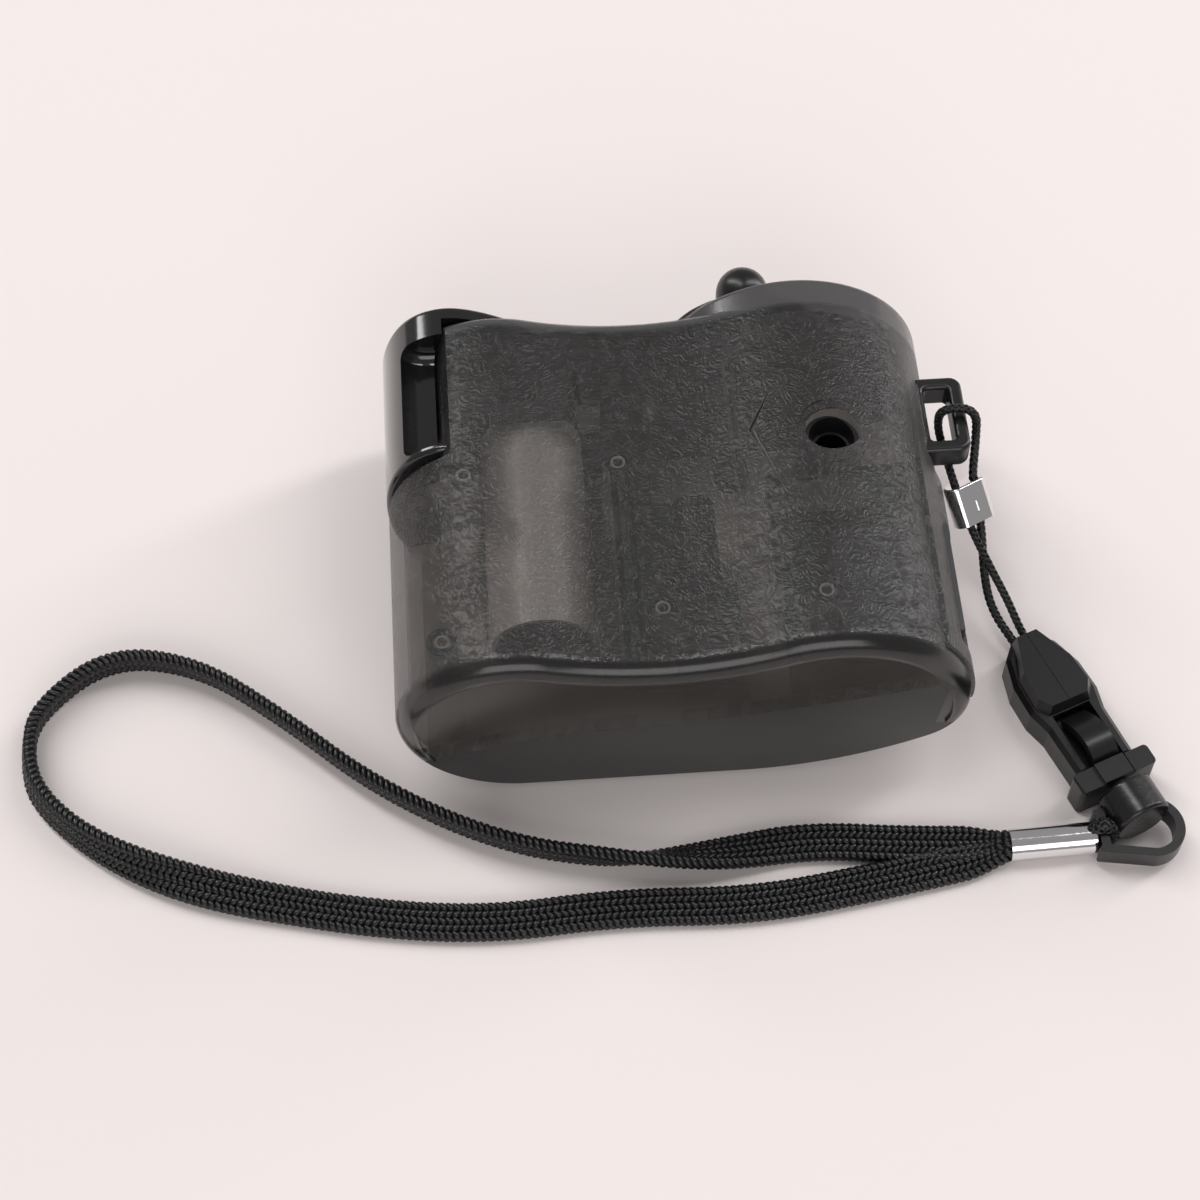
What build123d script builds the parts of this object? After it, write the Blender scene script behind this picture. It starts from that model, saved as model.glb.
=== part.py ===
"""Hand crank phone charger with its wrist lanyard, in millimetres, +Z up.

The charger lies on its back.  X runs along its length, Y from the plain end to the
crank end, and the origin is on the flat of the back, halfway between the two ends.
"""
import os
from math import acos, atan2, cos, degrees, hypot, pi, radians, sin, sqrt, tan

from build123d import *

# ---------------------------------------------------------------- driving dimensions
BODY_LENGTH = 45.0            # plain end to crank end, without the round platform
HALF_LENGTH = BODY_LENGTH / 2
WALL = 1.5                    # moulded wall
LEFT_LOBE = (-17.9, 13.4)     # centre of the left lobe's front arc, in (x, z)
LEFT_LOBE_R = 12.1
LEFT_BACK_R = 13.4            # the same lobe's back arc, tangent to the flat
RIGHT_LOBE = (15.2, 11.5)
RIGHT_LOBE_R = 14.8
RIGHT_CORNER = (23.0, 11.5)   # tight arc where the right side turns to the back
RIGHT_CORNER_R = 7.0
BACK_SWEEP = 30.0             # degrees that the back rises by before that corner
WAIST_R = 36.0                # hollow between the lobes on the front
NEAR_ROUND = 2.2              # rounding of the plain end's rim
FAR_ROUND = 1.5               # rounding of the crank end's rim
END_RECESS = 0.3              # plain end's plate sits this far inside its rim

PLATFORM_RISE = 2.0           # round step on the crank end, over the right lobe
PLATFORM_ROUND = 0.8

AXIS = (10.5, 13.6)           # crank axis, in (x, z)
NOTCH_R = 35.0                # notch wall is concentric with the crank axis
NOTCH_Y = 4.8                 # bottom of the notch that holds the grip
FIT = 0.3                     # gap between pieces that pass each other
RUN = 0.05                    # radial clearance of a shaft in its bore

SHAFT_R = 2.0
FLANGE_R = 9.0
HINGE_Y = HALF_LENGTH + 5.3   # hinge pin's line beyond the crank end
HINGE_X = 10.4
EAR_R = 2.9
EAR_Z = 6.4                   # dome centres, above and below the arm's middle
EYE_R = 2.1
EYE_HALF = 3.4
HINGE_PIN_R = 0.9
ARM_Z = 13.5                  # middle of the arm

MODULE = 0.6
DRIVE_TEETH, IDLER_TEETH, PINION_TEETH = 30, 18, 8
MOTOR = (-14.2, 13.0)
MOTOR_R = 5.6

CORD_D = 0.95
STRAP_WIDTH, STRAP_THICK = 4.2, 1.5
BUCKLE_TIP = (38.5, -9.4)     # where the thin cord enters the buckle, in (x, y)
BUCKLE_ANGLE = -68.3          # plan direction of the buckle, from +X


# ---------------------------------------------------------------- small helpers
def prism(face, y0, y1):
    """Extrude a face drawn in (x, z) from y0 to y1."""
    return extrude(Plane.XZ.offset(-y0) * face, amount=y0 - y1)


def disc(centre, radius, y0, y1):
    """Round disc or rod along Y, centred at (x, z)."""
    return prism(Pos(*centre) * Circle(radius), y0, y1)


def block(x, y, z):
    """Box between the pairs of limits x, y and z."""
    size = [b - a for a, b in (x, y, z)]
    middle = [(a + b) / 2 for a, b in (x, y, z)]
    return Pos(*middle) * Box(*size)


def post(x, y, radius, z0, z1):
    """Round post along Z."""
    return Pos(x, y, (z0 + z1) / 2) * Cylinder(radius, z1 - z0)


def whole(shape):
    """The shape as one solid, or a compound of its separate solids."""
    solids = shape.solids()
    return solids[0] if len(solids) == 1 else Compound(children=list(solids))


def region(points):
    """Face inside straight sides."""
    return make_face(Polyline(*points, close=True))


# ---------------------------------------------------------------- housing section
def waist_centre():
    """Centre of the arc that touches both lobes from above."""
    (ax, az), (bx, bz) = LEFT_LOBE, RIGHT_LOBE
    gap = hypot(bx - ax, bz - az)
    da, db = LEFT_LOBE_R + WAIST_R, RIGHT_LOBE_R + WAIST_R
    along = (da**2 - db**2 + gap**2) / (2 * gap)
    up = sqrt(da**2 - along**2)
    ux, uz = (bx - ax) / gap, (bz - az) / gap
    return ax + along * ux - up * uz, az + along * uz + up * ux


def section(inset=0.0):
    """Kidney-shaped outline in (x, z), drawn inside the outer one by inset."""
    wx, wz = waist_centre()
    right = degrees(atan2(wz - RIGHT_LOBE[1], wx - RIGHT_LOBE[0]))
    left = degrees(atan2(wz - LEFT_LOBE[1], wx - LEFT_LOBE[0]))
    turn = radians(BACK_SWEEP)
    corner_x = RIGHT_CORNER[0] + RIGHT_CORNER_R * sin(turn)
    corner_z = RIGHT_CORNER[1] - RIGHT_CORNER_R * cos(turn)
    sweep_r = corner_z / (1 - cos(turn))
    flat_x = corner_x - sweep_r * sin(turn)
    left_x = LEFT_LOBE[0] - LEFT_LOBE_R + LEFT_BACK_R
    edges = [
        Line((left_x, inset), (flat_x, inset)),
        CenterArc((flat_x, sweep_r), sweep_r - inset, -90, BACK_SWEEP),
        CenterArc(RIGHT_CORNER, RIGHT_CORNER_R - inset, BACK_SWEEP - 90, 90 - BACK_SWEEP),
        CenterArc(RIGHT_LOBE, RIGHT_LOBE_R - inset, 0, right),
        CenterArc((wx, wz), WAIST_R + inset, right - 180, left - right),
        CenterArc(LEFT_LOBE, LEFT_LOBE_R - inset, left, 180 - left),
        CenterArc((left_x, LEFT_LOBE[1]), LEFT_BACK_R - inset, 180, 90),
    ]
    return make_face(edges)


# ---------------------------------------------------------------- housing shells
Y_NEAR, Y_FAR = -HALF_LENGTH, HALF_LENGTH
Y_STEP = Y_FAR + PLATFORM_RISE
DECK_Y = (18.6, 19.4)         # gear deck
CAVITY_Y = (Y_NEAR + WALL + END_RECESS, Y_FAR - WALL)

JACK = (17.4, 4.3)            # jack's place on the front, in (x, y)
JACK_BORE = 1.75              # radius of the plug's bore
JACK_BORE_LENGTH = 9.0
JACK_MOUTH_Z = 24.4

PAD_Y = (-20.2, 3.5)          # raised patch round the side socket
PAD_Z = (10.4, 21.2)
PAD_RISE = 0.45
SOCKET_Y = (-18.0, -2.2)      # mouth in the patch
SOCKET_Z = (12.5, 18.7)

LUG_Y = (6.1, 16.0)           # strap eye on the right side
LUG_Z = (15.0, 18.2)
LUG_X = 33.4
LUG_BAR = 1.5

# screw places: x, y, height of the head's seat, top of the shoulder round the post
SCREWS = ((-21.6, 3.0, 2.6, 0.5), (-5.2, 4.8, 1.6, 8.6), (-1.9, -13.6, 1.6, 8.6), (-24.6, -16.4, 4.6, 0.5),
          (14.6, -14.6, 2.2, 11.55))
BOSS_R = 1.6
SCREW_R = 0.7
BOARD_POST = (22.0, 4.6)      # plain post under the socket's board
BOARD_Z = 11.55               # that board's underside


def notch_region(radius):
    """Everything to the left of the notch wall's arc, in (x, z)."""
    return Pos(-25, 13.5) * Rectangle(40, 50) - Pos(*AXIS) * Circle(radius)


def outer_body():
    """Outside of the whole housing, rounded at both ends, with the grip's notch."""
    body = prism(section(), Y_NEAR, Y_FAR)
    body = fillet(body.faces().sort_by(Axis.Y)[0].edges(), NEAR_ROUND)
    body = fillet(body.faces().sort_by(Axis.Y)[-1].edges(), FAR_ROUND)
    raised = section() & (Pos(*RIGHT_LOBE) * Circle(RIGHT_LOBE_R))
    step = prism(raised, Y_FAR - 3, Y_STEP)
    body += fillet(step.faces().sort_by(Axis.Y)[-1].edges(), PLATFORM_ROUND)
    notch = prism(notch_region(NOTCH_R), NOTCH_Y, Y_STEP + 1)
    floor = notch.faces().sort_by(Axis.Y)[0]
    corner = [e for e in floor.edges() if e.geom_type == GeomType.CIRCLE]
    notch = fillet(corner, 1.0)
    return body - notch


def cavity():
    """Hollow of the housing, one wall inside its outside."""
    room = prism(section(WALL), *CAVITY_Y)
    return room - prism(notch_region(NOTCH_R - WALL), NOTCH_Y - WALL, Y_FAR)


def parting_region():
    """Section of the rear shell: below an S-shaped line that drops at the right end."""
    line = [(-40, 6.6), (-26.6, 7.6), (-20.0, 9.6), (-14.0, 10.9), (-8.0, 11.7), (1.7, 12.5),
            (10.0, 13.6), (18.0, 15.1), (25.6, 16.6)]
    top = Spline(*line, tangents=((1, 0.02), (1, 0.18)))
    drop = RadiusArc((25.6, 16.6), (27.0, 15.2), 1.4)
    rest = Polyline((27.0, 15.2), (26.4, 9.0), (40, 8.2), (40, -20), (-40, -20), (-40, 6.6))
    return make_face([top, drop, rest])


def end_recess():
    """Shallow recess that leaves a rim round the plain end."""
    plate = section(NEAR_ROUND) + (region([(-40, -20), (40, -20), (40, 8.2), (26, 9.5), (-26, 7.6),
                                           (-40, 6.6)]) & section(-1.0))
    return prism(plate, Y_NEAR - 1, Y_NEAR + END_RECESS)


def jack_opening():
    """Oval mouth of the output jack, through the front wall."""
    mouth = Pos(JACK[0], JACK[1]) * Ellipse(2.95, 2.55)
    bevel = Pos(JACK[0], JACK[1]) * Ellipse(3.2, 2.8)
    return extrude(mouth, amount=40) - block((0, 40), (-10, 20), (-1, 20)) + Pos(0, 0, 25.9) * extrude(bevel, amount=3)


def jack_recess_ring():
    """Shallow dished ring round the jack's mouth."""
    return Pos(JACK[0], JACK[1], 27.0) * Cylinder(3.7, 1.9)


def arrow_grooves():
    """Two tapered grooves that meet in an arrow head pointing left, on the front."""
    tip = (8.6, 5.6)
    upper = region([tip, (8.95, 5.15), (11.6, 10.6)])
    lower = region([tip, (9.1, 5.5), (11.7, -3.2)])
    cut = extrude(upper + lower, amount=40)
    return cut & (prism(section(-1), -10, 15) - prism(section(0.35), -10, 15))


def lug():
    """Strap eye: a foot at each end and an outer bar, rounded off at the plain end."""
    body_x = 26.0
    outline = region([(body_x, LUG_Y[0]), (LUG_X, LUG_Y[0]), (LUG_X, LUG_Y[1]), (body_x, LUG_Y[1])])
    outline = fillet(outline.vertices().sort_by(Axis.X)[-2:], 1.3)
    window = Pos((29.1 + LUG_X - LUG_BAR) / 2, (LUG_Y[0] + LUG_Y[1]) / 2) * RectangleRounded(
        LUG_X - LUG_BAR - 29.1, LUG_Y[1] - LUG_Y[0] - 3.0, 0.5)
    eye = extrude(Pos(0, 0, LUG_Z[0]) * (outline - window), amount=LUG_Z[1] - LUG_Z[0])
    rims = [e for e in eye.edges().filter_by(Axis.Y) if e.center().X > LUG_X - 2.0]
    return fillet(rims, 0.5)


def side_pad():
    """Raised patch that follows the right lobe round the side socket."""
    patch = prism(section(-PAD_RISE), *PAD_Y) & block((20, 40), PAD_Y, PAD_Z)
    return patch - prism(section(0.6), *PAD_Y)


def screw_bosses(radius, z0, z1):
    """Posts on the screw places, between two heights."""
    return Part() + [post(x, y, radius, z0, z1) for x, y, seat, shoulder in SCREWS]


def front_ribs():
    """Ribs that hang from the inside of the front: two long ones and the socket's fence."""
    ribs = block((-6.2, -5.5), (-19.6, 3.6), (14.5, 25)) + block((-4.6, -3.9), (-19.6, 3.6), (14.5, 25))
    ribs += block((9.6, 10.3), (-14.5, -0.6), (18.8, 27)) + block((10.3, 20.5), (-1.3, -0.6), (18.8, 27))
    ribs += block((-9.0, -6.6), (12.0, 12.7), (17, 26)) + block((-9.3, -8.6), (12.7, 18.0), (18, 26))
    return ribs + block((7.2, 7.9), (-0.6, 18.0), (19.5, 27))


def front_shell():
    """Textured front half with the rim of both ends, the notch, the socket and the eye."""
    body = outer_body() + side_pad() + lug()
    body -= cavity()
    body -= prism(parting_region(), Y_NEAR - 1, Y_STEP + 1)
    body -= end_recess()
    keep_in = prism(section(WALL / 2), Y_NEAR + 1, Y_FAR - 1) - prism(
        notch_region(NOTCH_R - WALL / 2), NOTCH_Y - WALL / 2, Y_FAR)
    body += front_ribs() & keep_in
    body += screw_bosses(BOSS_R, 14.5, 30) & keep_in
    body -= screw_bosses(SCREW_R, 10, 19)
    body -= block((24, 40), SOCKET_Y, SOCKET_Z)
    body -= jack_opening()
    body -= jack_recess_ring() - prism(section(0.25), -10, 15)
    body -= arrow_grooves()
    body -= disc(AXIS, SHAFT_R + RUN, 15, 30) + disc(IDLER_1, PIN_R, 20, CAVITY_Y[1] + 0.8)
    return whole(body)


def rear_shell():
    """Plainer back half: the resting flat, the screw posts and the motor's cradle."""
    body = (outer_body() - cavity()) & prism(parting_region(), Y_NEAR - 1, Y_STEP + 1)
    body -= end_recess()
    inside = prism(section(WALL / 2), Y_NEAR + 1, Y_FAR - 1)
    posts = screw_bosses(BOSS_R, 0.2, 14.5) + post(*BOARD_POST, BOSS_R, 0.2, BOARD_Z)
    posts += [post(x, y, BOSS_R + 1.2, 0.2, shoulder) for x, y, seat, shoulder in SCREWS]
    body += posts & (cavity() + prism(parting_region(), Y_NEAR + 1, Y_FAR - 1) & inside)
    cradle = block((-19.8, -8.6), (-6.5, -5.5), (0.5, 10.5)) + block((-19.8, -8.6), (8.5, 9.5), (0.5, 10.5))
    body += (cradle - disc(MOTOR, MOTOR_R, -20, 20)) & inside
    for x, y, seat, shoulder in SCREWS:
        body -= post(x, y, SCREW_R + 0.2, -1, 15) + post(x, y, 1.45, -1, seat + 1.6)
    body -= disc(AXIS, SHAFT_R + RUN, 15, 30) + disc(IDLER_1, PIN_R, 20, CAVITY_Y[1] + 0.8)
    return whole(body)


def shell_screws():
    """Screws that enter the back's counterbores and hold in the front's bosses."""
    screws = []
    for x, y, seat, shoulder in SCREWS:
        head = post(x, y, 1.3, seat, seat + 1.6) - post(x, y, 0.5, seat - 1, seat + 0.7)
        screws.append(head + post(x, y, SCREW_R, seat + 1.6, 18.0))
    return Compound(children=[whole(s) for s in screws])


# ---------------------------------------------------------------- gears
def involute_gear(teeth, phase, y0, y1, centre, thin=0.10):
    """Spur gear along Y; phase is the angle of one tooth's middle, in degrees."""
    pitch_r = MODULE * teeth / 2
    tip_r, root_r = pitch_r + 0.9 * MODULE, pitch_r - 1.2 * MODULE
    base_r = pitch_r * cos(radians(20))
    half = pi / (2 * teeth) - thin / pitch_r / 2
    inv = lambda r: tan(acos(min(1.0, base_r / r))) - acos(min(1.0, base_r / r))
    points = []
    for k in range(teeth):
        mid = radians(phase) + 2 * pi * k / teeth
        radii = (root_r, max(base_r, root_r), pitch_r, tip_r)
        angles = [half + inv(pitch_r) - inv(max(r, base_r)) for r in radii]
        points += [(r * cos(mid - a), r * sin(mid - a)) for r, a in zip(radii, angles)]
        points += [(r * cos(mid + a), r * sin(mid + a)) for r, a in reversed(list(zip(radii, angles)))]
    return prism(Pos(*centre) * region(points), y0, y1)


def direction(a, b):
    """Plan angle from a to b, in degrees."""
    return degrees(atan2(b[1] - a[1], b[0] - a[0]))


def meshing_phase(teeth_a, phase_a, a, teeth_b, b):
    """Phase of gear b that puts its gap on gear a's tooth."""
    line = direction(a, b)
    part = (line - phase_a) * teeth_a / 360
    return line + 180 - 360 / teeth_b * (0.5 - part)


def idler_places():
    """Centres of the two idlers between the crank's axis and the motor."""
    reach = MODULE * (DRIVE_TEETH + PINION_TEETH) / 2
    first = (AXIS[0] + reach * cos(radians(176)), AXIS[1] + reach * sin(radians(176)))
    step = MODULE * (IDLER_TEETH + PINION_TEETH) / 2
    gap = hypot(MOTOR[0] - first[0], MOTOR[1] - first[1])
    ux, uz = (MOTOR[0] - first[0]) / gap, (MOTOR[1] - first[1]) / gap
    side = sqrt(step**2 - (gap / 2) ** 2)
    second = (first[0] + ux * gap / 2 - uz * side, first[1] + uz * gap / 2 + ux * side)
    return first, second


IDLER_1, IDLER_2 = idler_places()
LAYER_1 = (19.7, 20.7)        # drive gear and first pinion
LAYER_2 = (17.1, 18.2)
LAYER_3 = (15.7, 16.8)
PHASE_DRIVE = 0.0
PHASE_1 = meshing_phase(DRIVE_TEETH, PHASE_DRIVE, AXIS, PINION_TEETH, IDLER_1)
PHASE_2 = meshing_phase(IDLER_TEETH, PHASE_1, IDLER_1, PINION_TEETH, IDLER_2)
PHASE_M = meshing_phase(IDLER_TEETH, PHASE_2, IDLER_2, PINION_TEETH, MOTOR)
PIN_R = 0.75


def drive_gear():
    """Large gear on the crank's shaft, lightened by a thinner web."""
    gear = involute_gear(DRIVE_TEETH, PHASE_DRIVE, *LAYER_1, AXIS)
    gear -= disc(AXIS, 7.6, LAYER_1[0] - 1, LAYER_1[0] + 0.3) - disc(AXIS, 3.2, 10, 30)
    return whole(gear - disc(AXIS, SHAFT_R, 10, 30))


def compound_gear(place, phase, wheel_layer, pinion_layer):
    """Idler: a wheel and a pinion moulded in one piece, with a bore for its pin."""
    wheel = involute_gear(IDLER_TEETH, phase, *wheel_layer, place)
    pinion = involute_gear(PINION_TEETH, phase, *pinion_layer, place)
    low, high = min(wheel_layer + pinion_layer), max(wheel_layer + pinion_layer)
    return whole(wheel + pinion + disc(place, 1.5, low, high) - disc(place, PIN_R + RUN, 0, 30))


def gear_deck():
    """Black plate across the housing that carries the idler pins and the shaft's tip."""
    plate = prism(section(WALL), *DECK_Y) - prism(notch_region(NOTCH_R - WALL), -30, 30)
    plate -= disc(IDLER_1, 3.4, 10, 30) + disc(AXIS, 1.2 + RUN, 10, 30) + disc(MOTOR, 2.6, 10, 30)
    plate -= disc(IDLER_2, PIN_R, 10, 30)
    cover = block((-19.9, -9.9), (12.4, DECK_Y[0]), (18.9, 20.6)) - block((-17.3, -13.4), (13.9, 16.6), (18, 21))
    arm = block((5.3, 9.0), (3.4, DECK_Y[0]), (16.4, 18.6))
    arm = fillet(arm.faces().sort_by(Axis.Y)[0].edges().filter_by(Axis.Z), 1.5)
    return whole(plate + cover + arm)


def idler_pins():
    """Steel pins pressed into the deck or the wall, on which the idlers turn."""
    pins = [disc(IDLER_1, PIN_R, 15.4, CAVITY_Y[1] + 0.8), disc(IDLER_2, PIN_R, 15.4, DECK_Y[1])]
    return Compound(children=[whole(p) for p in pins])


# ---------------------------------------------------------------- generator
CAN_Y = (-12.6, 14.4)


def motor_can():
    """Steel case of the generator motor, closed and rounded at the crank end."""
    can = disc(MOTOR, MOTOR_R, *CAN_Y)
    can = fillet(can.edges().group_by(Axis.Y)[-1], 0.9)
    can -= disc(MOTOR, MOTOR_R - 0.5, CAN_Y[0] - 1, CAN_Y[1] - 0.6)
    can += disc(MOTOR, 1.9, CAN_Y[1] - 0.6, CAN_Y[1] + 0.7)
    return whole(can - disc(MOTOR, PIN_R + RUN, 0, 30))


def motor_end_cap():
    """Moulded cap in the motor's open end, with its two solder tags."""
    cap = disc(MOTOR, MOTOR_R - 0.5, CAN_Y[0], CAN_Y[0] + 2.0) + disc(MOTOR, 2.2, CAN_Y[0] - 1.2, CAN_Y[0])
    for side in (-1, 1):
        x = MOTOR[0] + side * 3.6
        cap += block((x - 0.7, x + 0.7), (CAN_Y[0] - 2.4, CAN_Y[0] + 0.5), (MOTOR[1] - 0.2, MOTOR[1] + 0.2))
    return whole(cap - disc(MOTOR, PIN_R + RUN, CAN_Y[0] - 0.6, 5))


def rotor():
    """Armature on its shaft: three-slot core, winding heads and commutator."""
    core = disc(MOTOR, 4.2, -5.5, 8.5)
    for k in range(3):
        angle = radians(90 + 120 * k)
        slot = Pos(MOTOR[0] + 4.0 * cos(angle), MOTOR[1] + 4.0 * sin(angle)) * Circle(0.9)
        core -= prism(slot, -6, 9)
    core += disc(MOTOR, 3.0, -7.5, 10.5) + disc(MOTOR, 1.6, -10.2, -7.5)
    return whole(core + disc(MOTOR, PIN_R, CAN_Y[0] - 0.5, LAYER_3[1] + 0.2))


def motor_pinion():
    """Small gear pressed on the motor's shaft."""
    gear = involute_gear(PINION_TEETH, PHASE_M, *LAYER_3, MOTOR)
    return whole(gear - disc(MOTOR, PIN_R, 0, 30))


# ---------------------------------------------------------------- electronics
def circuit_board():
    """Board with a stepped corner, on the rear shell's posts."""
    outline = region([(-8.0, -16.0), (7.2, -16.0), (7.2, -4.0), (5.6, -4.0), (5.6, 7.0), (-1.2, 7.0),
                      (-1.2, 11.6), (-8.0, 11.6)])
    board = extrude(Pos(0, 0, 8.6) * outline, amount=1.2)
    for x, y, seat, shoulder in SCREWS:
        board -= post(x, y, BOSS_R + 0.3, 0, 30)
    return whole(board)


def capacitor():
    """Round capacitor lying on the board, with its crimped end."""
    can = Pos(3.0, 0, 12.1) * Rot(90, 0, 0) * Cylinder(2.3, 10.0)
    can = fillet(can.edges(), 0.4)
    groove = Pos(3.0, -3.9, 12.1) * Rot(90, 0, 0) * (Cylinder(2.6, 0.5) - Cylinder(2.1, 0.5))
    return whole(can - groove)


def diodes():
    """Four rectifier diodes in a row on the board, each with its two legs."""
    pieces = []
    for k in range(4):
        y = -14.6 + 2.0 * k
        body = Pos(3.6, y, 10.9) * Rot(0, 90, 0) * Cylinder(0.75, 3.0)
        legs = block((1.5, 5.7), (y - 0.2, y + 0.2), (10.7, 11.1))
        ends = block((1.3, 1.7), (y - 0.2, y + 0.2), (9.8, 11.1)) + block((5.5, 5.9), (y - 0.2, y + 0.2), (9.8, 11.1))
        pieces.append(whole(body + legs + ends))
    return Compound(children=pieces)


def usb_shell():
    """Folded metal shell of the side socket, mouth towards +X."""
    y0, y1, z0, z1 = -16.7, -3.5, 12.75, 18.45
    shell = block((16.6, 29.2), (y0, y1), (z0, z1)) - block((17.2, 30), (y0 + 0.35, y1 - 0.35), (z0 + 0.35, z1 - 0.35))
    for y in (-13.4, -6.8):
        shell -= block((20.5, 25.0), (y - 0.6, y + 0.6), (z1 - 1, z1 + 1))
    return whole(shell)


def usb_tongue():
    """Moulded tongue with four contacts inside the socket."""
    tongue = block((17.2, 27.6), (-15.6, -4.6), (16.05, 17.7))
    for k in range(4):
        y = -13.6 + 2.33 * k
        tongue -= block((19, 28), (y - 0.5, y + 0.5), (16.0, 16.25))
    return whole(tongue)


def socket_board():
    """Small board that carries the side socket and the jack."""
    board = block((11.4, 26.8), (-19.4, 8.6), (BOARD_Z, BOARD_Z + 1.2))
    keep = prism(section(WALL + 0.3), -20, 20)
    return whole((board & keep) - post(14.6, -14.6, BOSS_R + 0.3, 0, 30))


def jack_sleeve():
    """Black stepped sleeve of the output jack, below the oval mouth."""
    x, y = JACK
    sleeve = post(x, y, 3.6, BOARD_Z + 1.2, 23.9) + post(x, y, 3.0, 23.9, JACK_MOUTH_Z)
    sleeve = sleeve & prism(section(WALL + 0.05), -20, 20)
    funnel = Pos(x, y, JACK_MOUTH_Z - 1.0) * Cone(JACK_BORE + 0.3, 2.5, 2.0)
    bore_floor = JACK_MOUTH_Z - 2.0 - JACK_BORE_LENGTH
    return whole(sleeve - funnel - post(x, y, JACK_BORE, bore_floor, JACK_MOUTH_Z))


# ---------------------------------------------------------------- crank
ARM_LOW = (Y_FAR + 0.35, Y_FAR + 2.1)
ARM_HIGH = (Y_FAR + 3.25, Y_FAR + 4.7)
ARM_SKIRT_Y = 21.5
GRIP_Y = (5.4, ARM_SKIRT_Y)
JOGGLE_X = (-10.9, -9.3)


def arm_outline():
    """Spoon-shaped outline of the arm in (x, z), symmetric about its middle."""
    upper = [(-30.2, 0.0), (-29.35, 5.4), (-26.6, 9.7), (-22.8, 11.1), (-18.6, 10.0), (-15.2, 8.0), (-11.6, 5.0),
             (-7.0, 3.6), (0.0, EYE_HALF), (HINGE_X, EYE_HALF)]
    curve = Spline(*[(x, ARM_Z + h) for x, h in upper], tangents=((0, 1), (1, 0)))
    lower = Spline(*[(x, ARM_Z - h) for x, h in upper], tangents=((0, -1), (1, 0)))
    return make_face([curve, Line((HINGE_X, ARM_Z + EYE_HALF), (HINGE_X, ARM_Z - EYE_HALF)), lower])


def crank_hub():
    """Flange and shaft of the crank, with two domed ears for the hinge pin."""
    hub = disc(AXIS, FLANGE_R, Y_STEP + 0.25, Y_STEP + 1.0)
    hub += disc(AXIS, SHAFT_R, LAYER_1[0] - 0.1, Y_STEP + 0.5) + disc(AXIS, 1.2, DECK_Y[0], LAYER_1[0])
    hub += disc(AXIS, 3.4, LAYER_1[1], LAYER_1[1] + 0.2)
    for side in (-1, 1):
        dome_z = ARM_Z + side * EAR_Z
        foot_z = ARM_Z + side * (EYE_HALF + 0.3)
        ear = post(HINGE_X, HINGE_Y, EAR_R, min(dome_z, foot_z), max(dome_z, foot_z))
        ear += Pos(HINGE_X, HINGE_Y, dome_z) * Sphere(EAR_R)
        low, high = sorted((dome_z + side * 0.8, foot_z))
        ear += block((HINGE_X - 2.3, HINGE_X + 2.3), (Y_STEP + 0.6, HINGE_Y), (low, high))
        keep = block((0, 25), (Y_STEP + 0.25, 40), (-5, foot_z) if side < 0 else (foot_z, 35))
        hub += ear & keep
    return whole(hub - post(HINGE_X, HINGE_Y, HINGE_PIN_R, ARM_Z - EAR_Z, ARM_Z + EAR_Z))


def hinge_pin():
    """Steel pin through both ears and the arm's eye."""
    return post(HINGE_X, HINGE_Y, HINGE_PIN_R, ARM_Z - EAR_Z, ARM_Z + EAR_Z)


def handle_region(radius):
    """Part of the arm's outline outside a circle about the crank's axis."""
    return arm_outline() - Pos(*AXIS) * Circle(radius)


def crank_arm():
    """Flat arm: wide head over the notch, a step over the platform, an eye at the hinge."""
    outline = arm_outline()
    low = prism(outline & region([(-40, -5), (JOGGLE_X[0], -5), (JOGGLE_X[0], 35), (-40, 35)]), *ARM_LOW)
    high = prism(outline & region([(JOGGLE_X[1], -5), (20, -5), (20, 35), (JOGGLE_X[1], 35)]), *ARM_HIGH)
    web_side = region([(JOGGLE_X[0] - 1.2, ARM_LOW[1]), (JOGGLE_X[0] - 1.2, ARM_LOW[0]),
                       (JOGGLE_X[0], ARM_LOW[0]), (JOGGLE_X[1], ARM_HIGH[0]),
                       (JOGGLE_X[1], ARM_HIGH[1]), (JOGGLE_X[1] - 1.0, ARM_HIGH[1])])
    web = extrude(Pos(0, 0, -5) * web_side, amount=40) & prism(outline, 20, 30)
    low = fillet(low.faces().sort_by(Axis.Y)[-1].edges().filter_by(GeomType.BSPLINE), 0.7)
    top, shoulder = ARM_HIGH[1], EYE_HALF - 0.8
    roof = Plane(origin=(-20, 0, 0), x_dir=(0, 1, 0), z_dir=(1, 0, 0)) * region(
        [(top, ARM_Z + shoulder), (top, ARM_Z - shoulder), (top - 6, ARM_Z - shoulder - 6),
         (top - 6, ARM_Z + shoulder + 6)])
    arm = low + ((web + high) & extrude(roof, amount=40))
    arm += prism(handle_region(NOTCH_R + 0.4), ARM_SKIRT_Y, ARM_LOW[0] + 0.5)
    arm += post(HINGE_X, HINGE_Y, EYE_R, ARM_Z - EYE_HALF, ARM_Z + EYE_HALF)
    arm -= post(HINGE_X, HINGE_Y, HINGE_PIN_R + RUN, 0, 30)
    arm -= disc((-27.4, ARM_Z), 0.8, 20, 26) + disc((-27.4, ARM_Z), 1.5, ARM_LOW[1] - 0.9, 26)
    return whole(arm)


def crank_grip():
    """Crescent grip that fills the notch, with a finger scoop along each edge."""
    grip = prism(handle_region(NOTCH_R + 0.4), *GRIP_Y)
    grip = fillet(grip.faces().sort_by(Axis.Y)[0].edges(), 0.5)
    for side in (-1, 1):
        scoop = Pos(-24.6, (GRIP_Y[0] + GRIP_Y[1]) / 2, ARM_Z + side * 11.3) * Rot(90, 0, 0) * Cylinder(4.3, 14.6)
        grip -= fillet(scoop.edges(), 1.4)
    return whole(grip - disc((-27.4, ARM_Z), 0.8, 12, 26))


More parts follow.
